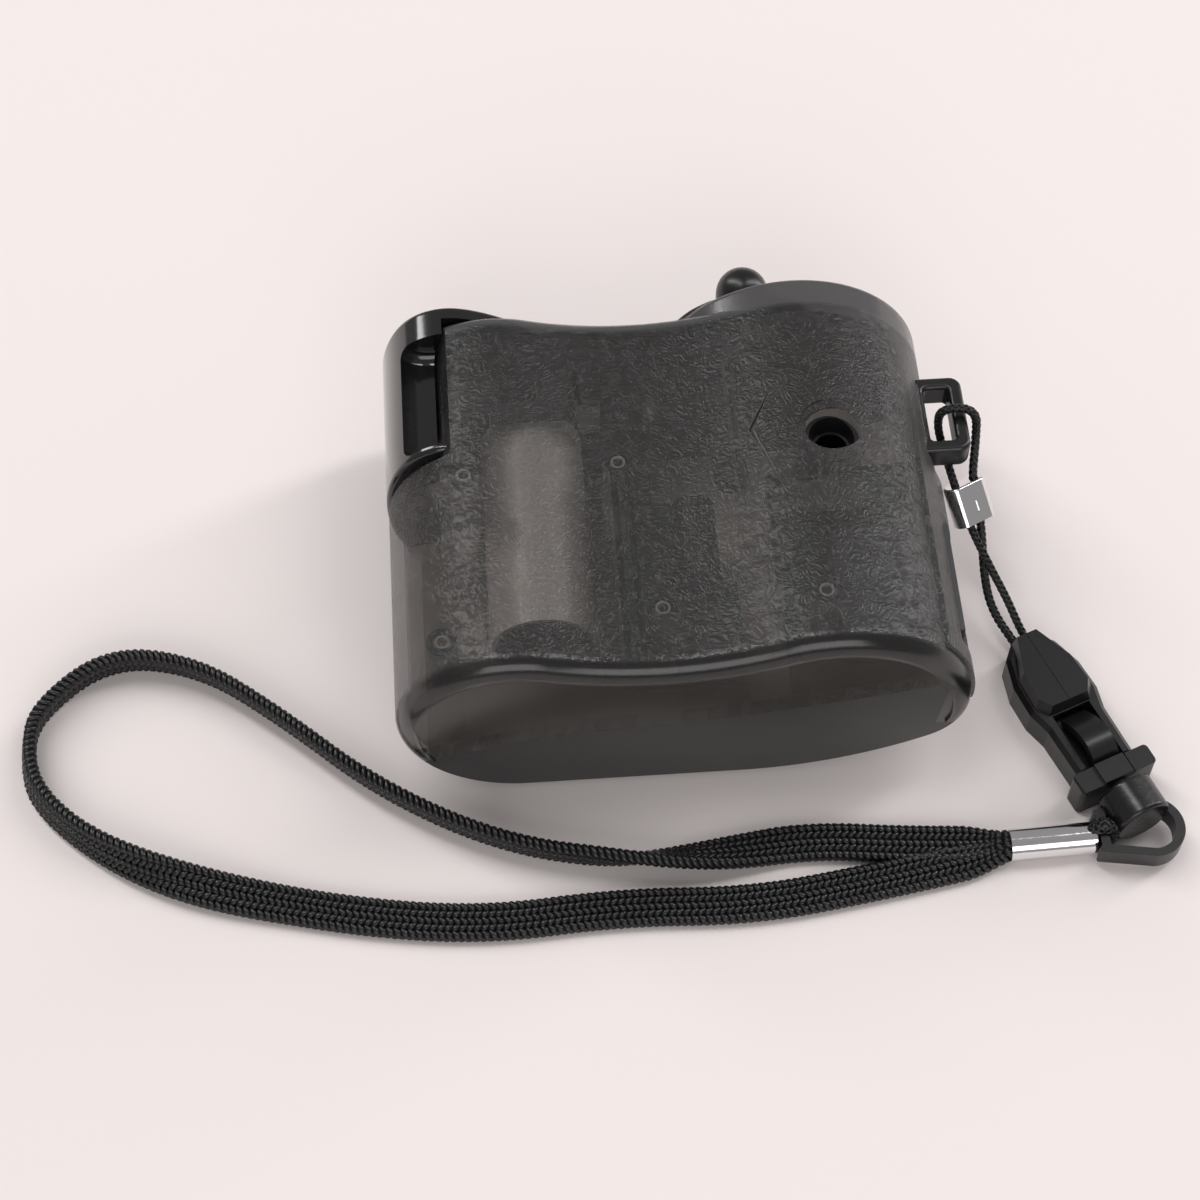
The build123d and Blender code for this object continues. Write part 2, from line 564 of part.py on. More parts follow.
def grip_screw():
    """Screw that holds the grip to the arm's head."""
    screw = disc((-27.4, ARM_Z), 0.8, 12.5, 24) + disc((-27.4, ARM_Z), 1.4, ARM_LOW[1] - 0.9, ARM_LOW[1] - 0.1)
    slot = block((-28.9, -25.9), (ARM_LOW[1] - 0.4, 26), (ARM_Z - 0.2, ARM_Z + 0.2))
    return whole(screw - slot)


# ---------------------------------------------------------------- lanyard hardware
BUCKLE = Plane(origin=(*BUCKLE_TIP, 0), x_dir=(cos(radians(BUCKLE_ANGLE)), sin(radians(BUCKLE_ANGLE)), 0),
               z_dir=(0, 0, 1))
HEAD_SIDE = [(0.0, 1.5), (1.6, 3.1), (5.0, 4.1), (8.6, 4.2), (11.2, 3.55), (17.4, 3.45)]
HEAD_TOP = [(0.3, 1.2), (4.6, 2.9), (8.0, 3.1), (9.4, 2.2)]
HEAD_Z, PANEL_Z = 3.7, 5.1
WINDOW = (9.9, 17.5)
WINDOW_HALF = 2.3
COLLAR = (17.4, 19.8)
COLLAR_HALF = 4.55
SWIVEL = (20.6, 24.9)
SWIVEL_R, SWIVEL_Z = 3.15, 3.2


def mirrored(points):
    """Closed outline from one side's points, mirrored across the buckle's axis."""
    return region(points + [(s, -w) for s, w in reversed(points)])


def buckle_head():
    """Tapered head: the cord's end, a sloped top panel and the latch's window."""
    lower = extrude(mirrored(HEAD_SIDE), amount=HEAD_Z)
    lower = chamfer(lower.faces().sort_by(Axis.Z)[-1].edges(), 0.5)
    panel = loft([Pos(0, 0, HEAD_Z - 0.6) * mirrored([(0.0, 1.45), (4.8, 3.6), (8.6, 3.7), (10.0, 2.6)]),
                  Pos(0, 0, PANEL_Z) * mirrored(HEAD_TOP)], ruled=True)
    head = lower + panel + block((0.5, 9.2), (-0.07, 0.07), (PANEL_Z - 0.1, PANEL_Z + 0.08))
    head -= block((WINDOW[0], WINDOW[1] + 1), (-WINDOW_HALF, WINDOW_HALF), (0.8, 10))
    head -= block((7.6, WINDOW[0] + 1), (-1.7, 1.7), (0.9, 3.3))
    for side in (-1, 1):
        head -= Pos(2.0, side * 0.65, 2.3) * Rot(0, 90, 0) * Cylinder(CORD_D / 2 + 0.15, 5.0)
    return whole(BUCKLE * head)


def buckle_insert():
    """Collar in three segments, prong inside the window and the swivel's stem."""
    segments = [(-COLLAR_HALF, -1.9, 4.6), (-1.9, 1.7, 5.0), (1.7, COLLAR_HALF, 4.6)]
    insert = Part() + [block(COLLAR, (low, high), (0.15, top)) for low, high, top in segments]
    insert = fillet([e for e in insert.edges().filter_by(Axis.Z) if abs(e.center().Y) > COLLAR_HALF - 0.1], 0.5)
    for low, high, top in segments[:1] + segments[2:]:
        insert -= block((COLLAR[0] - 1, COLLAR[1] + 1), (low - 0.2 if low < 0 else low - 0.15, low + 0.2), (top - 0.25, 9))
    prong = extrude(Pos(0, 0, 1.0) * mirrored([(8.4, 0.7), (9.4, 1.5), (17.7, 1.9)]), amount=1.0)
    rib = block((13.2, 17.7), (-0.3, 0.3), (2.0, 2.5))
    stem = Pos(20.5, 0, SWIVEL_Z) * Rot(0, 90, 0) * Cylinder(1.0, 1.8)
    return whole(BUCKLE * (insert + prong + rib + stem))


def latch_profile():
    """Side view of the latch in (s, z): hooked tip, high arch and root."""
    top = Spline((10.4, 3.1), (12.2, 4.6), (14.4, 5.5), (16.2, 5.1), (17.1, 4.2))
    low = Spline((17.1, 3.1), (15.9, 3.9), (14.4, 4.4), (12.6, 3.7), (11.1, 2.7))
    return make_face([top, Line((17.1, 4.2), (17.1, 3.1)), low, Line((11.1, 2.7), (10.4, 3.1))])


def buckle_latch():
    """Sprung arch in the window, pressed down to free the buckle."""
    side = Plane.XZ.offset(-1.55) * latch_profile()
    return whole(BUCKLE * extrude(side, amount=3.1))


def ring_outline():
    """Teardrop outline of the strap's ring, dished at the ferrule's side."""
    low, high = (42.2, -35.6), (42.2, -30.8)
    cx, cy, r = 48.4, -33.1, 3.5
    edges = [Polyline(low, (42.8, -34.9), (42.8, -31.5), high), Line(high, (cx, cy + r)),
             CenterArc((cx, cy), r, 90, -180), Line((cx, cy - r), low)]
    return make_face(edges)


RING_Z = (1.0, 3.4)
RING_BAND = 0.95


def ring_band(thick, z0, z1):
    """Upright band round the ring's outline."""
    outer = ring_outline()
    outer = fillet(outer.vertices().sort_by(Axis.X)[:2], 0.3)
    grown = offset(outer, amount=(thick - RING_BAND) / 2, kind=Kind.ARC) if thick > RING_BAND else outer
    inner = offset(outer, amount=-(RING_BAND + thick) / 2, kind=Kind.ARC)
    return extrude(Pos(0, 0, z0) * (grown - inner), amount=z1 - z0)


def strap_ring():
    """Moulded teardrop ring between the swivel and the ferrule."""
    return whole(ring_band(RING_BAND, *RING_Z))


def swivel_barrel():
    """Short barrel on the insert's stem, with the eye that the ring runs through."""
    length = SWIVEL[1] - SWIVEL[0]
    barrel = Pos(sum(SWIVEL) / 2, 0, SWIVEL_Z) * Rot(0, 90, 0) * Cylinder(SWIVEL_R, length)
    barrel = fillet(barrel.edges(), 0.45)
    barrel -= Pos(21.0, 0, SWIVEL_Z) * Rot(0, 90, 0) * Cylinder(1.0 + RUN, 1.0)
    return whole((BUCKLE * barrel) - ring_band(RING_BAND + 0.5, RING_Z[0] - 0.2, RING_Z[1] + 0.2))


FERRULE = ((33.4, -33.45, 1.72), (42.5, -33.2, 1.72))    # ends of the ferrule's axis
FERRULE_R = 1.72


def ferrule():
    """Crimped tube on the strap's gathered ends."""
    start, end = Vector(*FERRULE[0]), Vector(*FERRULE[1])
    return extrude(Plane(origin=start, z_dir=end - start) * Circle(FERRULE_R), amount=(end - start).length)


# ---------------------------------------------------------------- cords
def turn_radii(points, share=0.45):
    """Largest rounding of each corner that leaves a straight part in both its runs."""
    radii = []
    for a, b, c in zip(points, points[1:], points[2:]):
        before, after = Vector(*b) - Vector(*a), Vector(*c) - Vector(*b)
        half_turn = radians(before.get_angle(after)) / 2
        radii.append(share * min(before.length, after.length) / tan(half_turn))
    return radii


def rounded_route(points, name):
    """Straight runs joined by tangent arcs; prints the tightest arc and the length."""
    radii = turn_radii(points)
    path = FilletPolyline(*points, radius=radii)
    print(f"{name}: length {path.length:.1f} mm, tightest radius {min(radii):.2f} mm")
    return path


def section_plane(path):
    """Plane across a route's start, its X level with the ground."""
    along = path % 0
    return Plane(origin=path @ 0, x_dir=along.cross(Vector(0, 0, 1)), z_dir=along)


CORD_ROUTE = [(40.2, -11.95, 2.3), (38.9, -8.6, 2.3), (37.3, -4.9, 4.6), (35.6, -2.3, 6.9), (33.4, 2.2, 9.6),
              (31.8, 5.4, 13.0), (31.2, 8.6, 14.0), (30.3, 10.7, 16.4), (30.5, 10.9, 19.3), (34.4, 10.6, 19.3),
              (34.5, 9.0, 15.4), (33.8, 5.3, 13.0), (34.9, 2.8, 9.6), (35.0, -2.6, 5.2), (35.7, -5.9, 3.6),
              (37.7, -9.1, 2.3), (39.0, -12.4, 2.3)]


def thin_cord():
    """Loop of round cord from the buckle, through the clamp and round the eye's bar."""
    path = rounded_route(CORD_ROUTE, "thin cord")
    tube = sweep(section_plane(path) * Circle(CORD_D / 2), path=path)
    print(f"thin cord: volume {tube.volume:.1f}, section x length {pi * CORD_D**2 / 4 * path.length:.1f}")
    return whole(tube)


def cord_clamp():
    """Folded metal clamp crimped on both strands below the eye."""
    top, bottom = Vector(32.8, 5.35, 13.0), Vector(34.15, 2.5, 9.6)
    along = (bottom - top).normalized()
    across = along.cross(Vector(0, 0, 1)).normalized()
    frame = Plane(origin=(top + bottom) * 0.5, x_dir=across, z_dir=along)
    clamp = frame * extrude(RectangleRounded(4.7, 2.7, 1.2), amount=2.3, both=True)
    clamp = fillet(clamp.edges().group_by(Axis(frame.origin, frame.z_dir))[0], 0.3)
    slot = Plane(origin=frame.origin, x_dir=across, z_dir=across.cross(along)) * Pos(0, 0.4, 1.2) * extrude(
        SlotOverall(1.6, 0.6, rotation=90), amount=2)
    slot += Plane(origin=frame.origin, x_dir=across, z_dir=across.cross(along)) * Pos(0, 0.4, -3.2) * extrude(
        SlotOverall(1.6, 0.6, rotation=90), amount=2)
    return whole(clamp - slot - thin_cord())


STRAP_Z = 0.8
STRAP_UPPER = [(31.6, -32.8), (22.0, -32.1), (13.0, -31.0), (3.0, -31.9), (-8.0, -31.6), (-20.0, -28.8),
               (-32.5, -21.6), (-43.1, -11.8), (-52.0, -4.9), (-61.8, -3.0), (-69.4, -9.4), (-70.2, -14.6)]
STRAP_LOWER = [(31.6, -34.1), (19.0, -36.3), (6.0, -38.1), (-8.0, -37.3), (-22.0, -38.4), (-36.0, -36.4),
               (-50.5, -32.4), (-62.0, -26.8), (-68.9, -20.2), (-70.2, -14.6)]


def strap_strand(points, name):
    """One strand of the flat braid, lying on the ground."""
    path = rounded_route([(x, y, STRAP_Z) for x, y in points], name)
    return sweep(section_plane(path) * RectangleRounded(STRAP_WIDTH, STRAP_THICK, 0.5), path=path)


def wrist_strap():
    """Flat braided loop, gathered into the ferrule, with its eye round the ring's bar."""
    strap = strap_strand(STRAP_UPPER, "strap, upper strand") + strap_strand(STRAP_LOWER, "strap, lower strand")
    x, y, z = FERRULE[0]
    along = Vector(*FERRULE[1]) - Vector(*FERRULE[0])
    ends = [Plane(origin=(29.0, y, STRAP_Z), z_dir=(1, 0, 0), x_dir=(0, 1, 0)) * RectangleRounded(
                5.6, STRAP_THICK, 0.5),
            Plane(origin=(x, y, z), z_dir=along, x_dir=(-along.Y, along.X, 0)) * RectangleRounded(3.1, 3.0, 1.3)]
    strap += loft(ends)
    eye = block((FERRULE[1][0] + 0.1, 43.95), (-34.3, -32.0), (0.3, 4.1))
    eye = fillet(eye.edges().filter_by(Axis.Y), 0.5)
    return Compound(children=[whole(strap), whole(eye - ring_band(RING_BAND, *RING_Z))])


PARTS = {
    "front_shell": front_shell,
    "rear_shell": rear_shell,
    "shell_screws": shell_screws,
    "gear_deck": gear_deck,
    "idler_pins": idler_pins,
    "motor_can": motor_can,
    "motor_end_cap": motor_end_cap,
    "rotor": rotor,
    "motor_pinion": motor_pinion,
    "circuit_board": circuit_board,
    "capacitor": capacitor,
    "diodes": diodes,
    "usb_shell": usb_shell,
    "usb_tongue": usb_tongue,
    "socket_board": socket_board,
    "jack_sleeve": jack_sleeve,
    "crank_hub": crank_hub,
    "drive_gear": drive_gear,
    "hinge_pin": hinge_pin,
    "crank_arm": crank_arm,
    "crank_grip": crank_grip,
    "grip_screw": grip_screw,
    "buckle_head": buckle_head,
    "buckle_insert": buckle_insert,
    "buckle_latch": buckle_latch,
    "strap_ring": strap_ring,
    "swivel_barrel": swivel_barrel,
    "ferrule": ferrule,
    "thin_cord": thin_cord,
    "cord_clamp": cord_clamp,
    "wrist_strap": wrist_strap,
}


def main():
    os.makedirs("parts", exist_ok=True)
    shapes = {name: make() for name, make in PARTS.items()}
    shapes["idler_gear_1"] = compound_gear(IDLER_1, PHASE_1, LAYER_2, LAYER_1)
    shapes["idler_gear_2"] = compound_gear(IDLER_2, PHASE_2, LAYER_3, LAYER_2)
    for name, shape in shapes.items():
        export_step(shape, f"parts/{name}.step")


if __name__ == "__main__":
    main()
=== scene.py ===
"""Hand crank phone charger with its wrist lanyard: looks, cords, light and camera."""
from math import cos, pi, radians, sin

import bpy
from bpy.props import FloatProperty, FloatVectorProperty, IntProperty
from mathutils import Matrix, Vector
from mathutils.bvhtree import BVHTree


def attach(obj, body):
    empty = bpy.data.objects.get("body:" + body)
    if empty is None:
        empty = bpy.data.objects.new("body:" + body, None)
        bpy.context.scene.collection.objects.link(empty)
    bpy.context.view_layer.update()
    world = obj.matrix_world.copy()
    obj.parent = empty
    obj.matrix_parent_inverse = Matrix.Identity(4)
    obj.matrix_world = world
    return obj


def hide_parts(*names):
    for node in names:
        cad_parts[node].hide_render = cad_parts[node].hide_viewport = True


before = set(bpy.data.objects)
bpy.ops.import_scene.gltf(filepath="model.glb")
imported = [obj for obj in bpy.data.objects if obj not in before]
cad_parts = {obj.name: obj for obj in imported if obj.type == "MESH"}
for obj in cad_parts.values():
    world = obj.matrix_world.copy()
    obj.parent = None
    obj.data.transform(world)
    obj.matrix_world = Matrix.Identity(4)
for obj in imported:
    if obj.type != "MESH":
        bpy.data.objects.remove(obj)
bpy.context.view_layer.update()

bl_info = {
    "name": "Hand crank charger",
    "version": (1, 0, 0),
    "blender": (4, 5, 0),
    "location": "3D View > Sidebar > Charger",
    "description": "Builds the looks of a hand crank charger with its wrist lanyard",
    "category": "Add Mesh",
}

MM = 0.001


# ---------------------------------------------------------------- shader helpers
def make_material(name, color, roughness=0.5, **sockets):
    """Material with one principled shader; uniform values go on its own sockets."""
    mat = bpy.data.materials.new(name)
    mat.use_nodes = True
    shader = mat.node_tree.nodes["Principled BSDF"]
    shader.inputs["Base Color"].default_value = (*color, 1.0)
    shader.inputs["Roughness"].default_value = roughness
    for socket, value in sockets.items():
        shader.inputs[socket.replace("_", " ")].default_value = value
    return mat, mat.node_tree, shader


def add_node(tree, kind, inputs=None, **settings):
    """Add a shader node, set its fields and link or fill its inputs."""
    node = tree.nodes.new(kind)
    for key, value in settings.items():
        setattr(node, key, value)
    for key, value in (inputs or {}).items():
        if isinstance(value, bpy.types.NodeSocket):
            tree.links.new(value, node.inputs[key])
        else:
            node.inputs[key].default_value = value
    return node


def object_coords(tree):
    """Object coordinates, in metres."""
    return add_node(tree, "ShaderNodeTexCoord").outputs["Object"]


def noise(tree, scale, detail=3.0, coords=None, distortion=0.0):
    """Noise with features of about 1/scale metres."""
    return add_node(tree, "ShaderNodeTexNoise", {
        "Scale": scale, "Detail": detail, "Distortion": distortion,
        "Vector": coords or object_coords(tree)}).outputs["Fac"]


def ramp(tree, fac, stops):
    """Colour ramp through (position, colour) stops."""
    node = add_node(tree, "ShaderNodeValToRGB", {"Fac": fac})
    elements = node.color_ramp.elements
    while len(elements) < len(stops):
        elements.new(0.5)
    for element, (place, color) in zip(elements, stops):
        element.position = place
        element.color = (*color, 1.0)
    return node.outputs["Color"]


def shades(tree, fac, color, dark, light):
    """Ramp between two shades of a colour, each a (position, factor)."""
    stops = [(place, tuple(c * factor for c in color)) for place, factor in (dark, light)]
    return ramp(tree, fac, stops)


def calc(tree, operation, a, b=0.0, clamp=False):
    """Math node on two values or sockets."""
    return add_node(tree, "ShaderNodeMath", {0: a, 1: b}, operation=operation,
                    use_clamp=clamp).outputs[0]


def plus(tree, a, b):
    """Sum of two values or sockets."""
    return calc(tree, "ADD", a, b)


def times(tree, a, b):
    """Product of two values or sockets."""
    return calc(tree, "MULTIPLY", a, b)


def rest_of(tree, share):
    """What a share leaves of one."""
    return calc(tree, "SUBTRACT", 1.0, share)


def share_between(tree, value, ends):
    """Share from 0 to 1 that a value has gone from one end to the other."""
    return add_node(tree, "ShaderNodeMapRange", {
        "Value": value, "From Min": ends[0], "From Max": ends[1]}).outputs[0]


def mix_colors(tree, fac, first, second):
    """Blend of two colours or colour sockets."""
    return add_node(tree, "ShaderNodeMix", {"Factor": fac, 6: first, 7: second},
                    data_type="RGBA").outputs[2]


def bump(tree, shader, height, strength, distance):
    """Bump the shader's surface by a height socket; distance in metres."""
    node = add_node(tree, "ShaderNodeBump", {
        "Height": height, "Strength": strength, "Distance": distance})
    tree.links.new(node.outputs["Normal"], shader.inputs["Normal"])


def grade(tree, shader, socket, fac, low, high):
    """Drive a shader socket between two values by a 0 to 1 factor."""
    node = add_node(tree, "ShaderNodeMapRange", {"Value": fac, "To Min": low, "To Max": high})
    tree.links.new(node.outputs["Result"], shader.inputs[socket])


# ---------------------------------------------------------------- materials
PLAIN_RIM = (-0.0211, -0.0202)          # Y, from the smooth rim to the grain at the plain end
CRANK_RIM = (0.0212, 0.0205)            # the same at the crank end
SOCKET_SIDE = (0.0225, 0.0265)          # X over which the wall hides more towards the socket
PLATE_FACING = -0.985                   # the end plate's normals have a smaller Y than this
CRANK_END_COLOR = (0.085, 0.083, 0.085, 1.0)
BOARD_MASK, BOARD_COPPER = (0.012, 0.022, 0.016), (0.020, 0.040, 0.026)


def curly_lines(tree, coords):
    """Fine worm-like ridges: level lines of a warped noise, broken up by a second noise."""
    field = noise(tree, 620.0, 1.5, coords, 0.6)
    lines = calc(tree, "SINE", times(tree, field, 62.0))
    gaps = noise(tree, 1500.0, 2.0, coords)
    return times(tree, plus(tree, times(tree, lines, 0.5), 0.5), gaps)


def leathery_shell():
    """Smoked plastic of the front: curly grain, smooth rims, duller plate at the plain end."""
    look = bpy.context.scene.charger_looks
    mat, tree, shader = make_material("smoked_shell", look.shell_color, 0.34, IOR=1.62)
    coords = object_coords(tree)
    place = add_node(tree, "ShaderNodeSeparateXYZ", {"Vector": coords}).outputs
    normal = add_node(tree, "ShaderNodeTexCoord").outputs["Normal"]
    facing = add_node(tree, "ShaderNodeSeparateXYZ", {"Vector": normal}).outputs
    past_plain_rim = share_between(tree, place["Y"], PLAIN_RIM)
    before_crank_rim = share_between(tree, place["Y"], CRANK_RIM)
    face = times(tree, past_plain_rim, before_crank_rim)
    crank_end = rest_of(tree, before_crank_rim)
    plate = calc(tree, "LESS_THAN", facing["Y"], PLATE_FACING)
    rim = times(tree, rest_of(tree, past_plain_rim), rest_of(tree, plate))

    fine = noise(tree, 5200.0, 3.0, coords)
    grain = times(tree, curly_lines(tree, coords), face)
    bump(tree, shader, plus(tree, grain, times(tree, fine, 0.06)), 0.6, 0.00011)

    tint = shades(tree, noise(tree, 900.0, 2.0, coords), look.shell_color, (0.35, 0.8), (0.70, 1.2))
    tint = mix_colors(tree, plate, tint, (*look.plate_color, 1.0))
    tint = mix_colors(tree, crank_end, tint, CRANK_END_COLOR)
    tint = mix_colors(tree, rim, tint, (*[c * 0.25 for c in look.shell_color], 1.0))
    tree.links.new(tint, shader.inputs["Base Color"])
    grade(tree, shader, "Roughness", face, 0.20, 0.34)

    thick = calc(tree, "MAXIMUM", share_between(tree, place["X"], SOCKET_SIDE), crank_end)
    dense = plus(tree, times(tree, plate, 0.16), times(tree, rim, 0.34))
    dense = plus(tree, dense, times(tree, thick, 0.28))
    alpha = calc(tree, "ADD", dense, look.shell_density, clamp=True)
    tree.links.new(alpha, shader.inputs["Alpha"])
    return mat


def plain_shell():
    """Smoked plastic of the back, fine and even."""
    look = bpy.context.scene.charger_looks
    mat, tree, shader = make_material("smoked_rear", look.rear_color, 0.34, IOR=1.5)
    bump(tree, shader, noise(tree, 4200.0, 3.0), 0.25, 0.00003)
    grade(tree, shader, "Alpha", noise(tree, 90.0), 0.88, 0.96)
    return mat


def inside_plastic_painted_light(name, color, alpha):
    """Smoked plastic seen from inside, with a light colour that is painted light: it stands in for
    the light that comes in through the wall.
    """
    mat, tree, shader = make_material(name, color, 0.5, IOR=1.3)
    cloud = noise(tree, 140.0, 3.0)
    # The colour passed in is far lighter than this plastic's outside: painted light for the light
    # shining in through the wall.
    tint = shades(tree, cloud, color, (0.3, 0.85), (0.75, 1.15))
    tree.links.new(tint, shader.inputs["Base Color"])
    bump(tree, shader, noise(tree, 3600.0, 2.0), 0.2, 0.00003)
    grade(tree, shader, "Alpha", cloud, alpha * 0.95, min(1.0, alpha * 1.05))
    return mat


def moulded(name, color, roughness=0.5, grain=3000.0, depth=0.00006, coat=0.0):
    """Moulded plastic with a fine spark grain and slight variation."""
    mat, tree, shader = make_material(name, color, roughness, Coat_Weight=coat, Coat_Roughness=0.12)
    coords = object_coords(tree)
    fine = noise(tree, grain, 4.0, coords)
    broad = noise(tree, 120.0, 2.0, coords)
    bump(tree, shader, fine, 0.4, depth)
    tint = shades(tree, broad, color, (0.3, 0.85), (0.7, 1.2))
    tree.links.new(tint, shader.inputs["Base Color"])
    grade(tree, shader, "Roughness", fine, roughness * 0.85, min(1.0, roughness * 1.2))
    return mat


def metal(name, color, roughness, grain=1500.0, stretch=(1.0, 1.0, 1.0), metallic=1.0):
    """Metal with fine wear; stretch gives it a brushed direction."""
    mat, tree, shader = make_material(name, color, roughness, Metallic=metallic)
    mapping = add_node(tree, "ShaderNodeMapping", {"Vector": object_coords(tree), "Scale": stretch})
    fine = noise(tree, grain, 4.0, mapping.outputs[0])
    bump(tree, shader, fine, 0.3, 0.00002)
    grade(tree, shader, "Roughness", fine, roughness * 0.7, roughness * 1.5)
    return mat


def braid(name, color, roughness):
    """Yarn with fine fibres; its colour is lighter where they rise, a painted highlight on their
    crests.
    """
    mat, tree, shader = make_material(name, color, roughness)
    fibre_and_highlight = noise(tree, 5200.0, 3.0, None, 0.6)
    bump(tree, shader, fibre_and_highlight, 0.4, 0.00004)
    # Lighter where the noise that also raises the bump is high: a painted highlight on the crests.
    tint = shades(tree, fibre_and_highlight, color, (0.3, 0.7), (0.75, 1.6))
    tree.links.new(tint, shader.inputs["Base Color"])
    return mat


def laminate():
    """Dark green board with a copper pattern under its mask."""
    mat, tree, shader = make_material("board_green", BOARD_MASK, 0.35)
    cells = add_node(tree, "ShaderNodeTexVoronoi", {"Scale": 420.0, "Vector": object_coords(tree)},
                     feature="DISTANCE_TO_EDGE").outputs["Distance"]
    tint = ramp(tree, cells, [(0.04, BOARD_COPPER), (0.09, BOARD_MASK)])
    tree.links.new(tint, shader.inputs["Base Color"])
    bump(tree, shader, cells, 0.3, 0.00003)
    return mat


# ---------------------------------------------------------------- CAD nodes
def paint(node, material, chosen):
    """Give a CAD node's chosen faces another material; chosen gets centre in mm and normal."""
    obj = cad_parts[node]
    obj.data.materials.append(material)
    index, turn = len(obj.data.materials) - 1, obj.matrix_world.to_3x3()
    for face in obj.data.polygons:
        if chosen((obj.matrix_world @ face.center) / MM, (turn @ face.normal).normalized()):
            face.material_index = index


def round_edges(width_mm, *nodes):
    """Small rounding of the moulded or stamped edges of CAD nodes."""
    for node in nodes:
        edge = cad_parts[node].modifiers.new("edge", "BEVEL")
        edge.width, edge.segments = width_mm * MM, 3
        edge.limit_method, edge.angle_limit = "ANGLE", radians(34)
        edge.harden_normals = True


def dress(material, *nodes):
    """Give CAD nodes a material in all their slots."""
    for node in nodes:
        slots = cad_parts[node].data.materials
        if len(slots) == 0:
            slots.append(material)
        for k in range(len(slots)):
            slots[k] = material


# ---------------------------------------------------------------- curve helpers
def spline_curve(name, points, resolution=16):
    """Open NURBS curve through control points given in millimetres."""
    curve = bpy.data.curves.new(name, "CURVE")
    curve.dimensions = "3D"
    curve.resolution_u = resolution
    spline = curve.splines.new("NURBS")
    spline.points.add(len(points) - 1)
    for point, place in zip(spline.points, points):
        point.co = (*[c * MM for c in place], 1.0)
    spline.order_u = 3
    spline.use_endpoint_u = True
    return curve


def centreline(curve):
    """Points along a curve with no bevel."""
    probe = bpy.data.objects.new("probe", curve)
    bpy.context.scene.collection.objects.link(probe)
    bpy.context.view_layer.update()
    graph = bpy.context.evaluated_depsgraph_get()
    mesh = bpy.data.meshes.new_from_object(probe.evaluated_get(graph))
    points = [v.co.copy() for v in mesh.vertices]
    bpy.data.objects.remove(probe)
    bpy.data.meshes.remove(mesh)
    return points


def run_length(points):
    """Length of a polyline."""
    return sum((b - a).length for a, b in zip(points, points[1:]))


def even_steps(points, count):
    """Resample a polyline to a number of equal steps."""
    reach = [0.0]
    for a, b in zip(points, points[1:]):
        reach.append(reach[-1] + (b - a).length)
    steps, k = [], 0
    for i in range(count + 1):
        want = reach[-1] * i / count
        while k < len(points) - 2 and reach[k + 1] < want:
            k += 1
        part = (want - reach[k]) / max(1e-12, reach[k + 1] - reach[k])
        steps.append(points[k].lerp(points[k + 1], min(1.0, max(0.0, part))))
    return steps


def heading(points, i):
    """Direction of a polyline at one of its points."""
    return (points[min(i + 1, len(points) - 1)] - points[max(i - 1, 0)]).normalized()


def mesh_object(name, vertices, faces, material, smooth=True):
    """Object from vertices in metres, linked to the scene."""
    mesh = bpy.data.meshes.new(name)
    mesh.from_pydata([tuple(v) for v in vertices], [], faces)
    mesh.validate()
    obj = bpy.data.objects.new(name, mesh)
    mesh.materials.append(material)
    if smooth:
        mesh.polygons.foreach_set("use_smooth", [True] * len(mesh.polygons))
    bpy.context.scene.collection.objects.link(obj)
    return obj


def tube_along(centres, radius, sides):
    """Vertices and faces of a closed tube."""
    vertices, faces = [], []
    for i, centre in enumerate(centres):
        along = heading(centres, i)
        side = along.cross(Vector((0, 0, 1)))
        if side.length < 1e-6:
            side = along.cross(Vector((0, 1, 0)))
        side.normalize()
        up = side.cross(along).normalized()
        for k in range(sides):
            turn = 2 * pi * k / sides
            vertices.append(centre + side * (radius * cos(turn)) + up * (radius * sin(turn)))
    rows = len(centres)
    for i in range(rows - 1):
        here, there = i * sides, (i + 1) * sides
        for k in range(sides):
            n = (k + 1) % sides
            faces.append((here + k, here + n, there + n, there + k))
    faces.append(tuple(reversed(range(sides))))
    faces.append(tuple((rows - 1) * sides + k for k in range(sides)))
    return vertices, faces


def join_shapes(shapes):
    """One vertex and face list from several."""
    vertices, faces = [], []
    for part_vertices, part_faces in shapes:
        start = len(vertices)
        vertices += part_vertices
        faces += [tuple(start + i for i in face) for face in part_faces]
    return vertices, faces


# ---------------------------------------------------------------- cords
# Control points in millimetres. The cord goes from the buckle round the eye's bar and back.
CORD_ROUTE = [
    (40.2, -11.95, 2.3), (38.9, -8.6, 2.3), (37.3, -4.9, 4.6), (35.6, -2.3, 6.9), (33.4, 2.2, 9.6),
    (31.8, 5.4, 13.0), (31.2, 8.6, 14.0), (30.3, 10.7, 16.4), (30.5, 10.9, 19.3),
    (34.4, 10.6, 19.3), (34.5, 9.0, 15.4), (33.8, 5.3, 13.0), (34.9, 2.8, 9.6),
    (35.0, -2.6, 5.2), (35.7, -5.9, 3.6), (37.7, -9.1, 2.3), (39.0, -12.4, 2.3)]
# The strap's two strands go from the ferrule to the loop's far end.
STRAP_UPPER = [
    (31.6, -32.8), (22.0, -32.1), (13.0, -31.0), (3.0, -31.9), (-8.0, -31.6), (-20.0, -28.8),
    (-32.5, -21.6), (-43.1, -11.8), (-52.0, -4.9), (-61.8, -3.0), (-69.4, -9.4), (-70.2, -14.6)]
STRAP_LOWER = [
    (31.6, -34.1), (19.0, -36.3), (6.0, -38.1), (-8.0, -37.3), (-22.0, -38.4), (-36.0, -36.4),
    (-50.5, -32.4), (-62.0, -26.8), (-68.9, -20.2), (-70.2, -14.6)]
STRAP_Z = 0.8
STRAP_OUT = [(34.4, -33.1, 2.1), (32.9, -33.1, 1.9)]        # out of the ferrule
STRAP_BACK = [(32.9, -33.8, 1.3), (34.4, -33.7, 1.3)]       # back into it
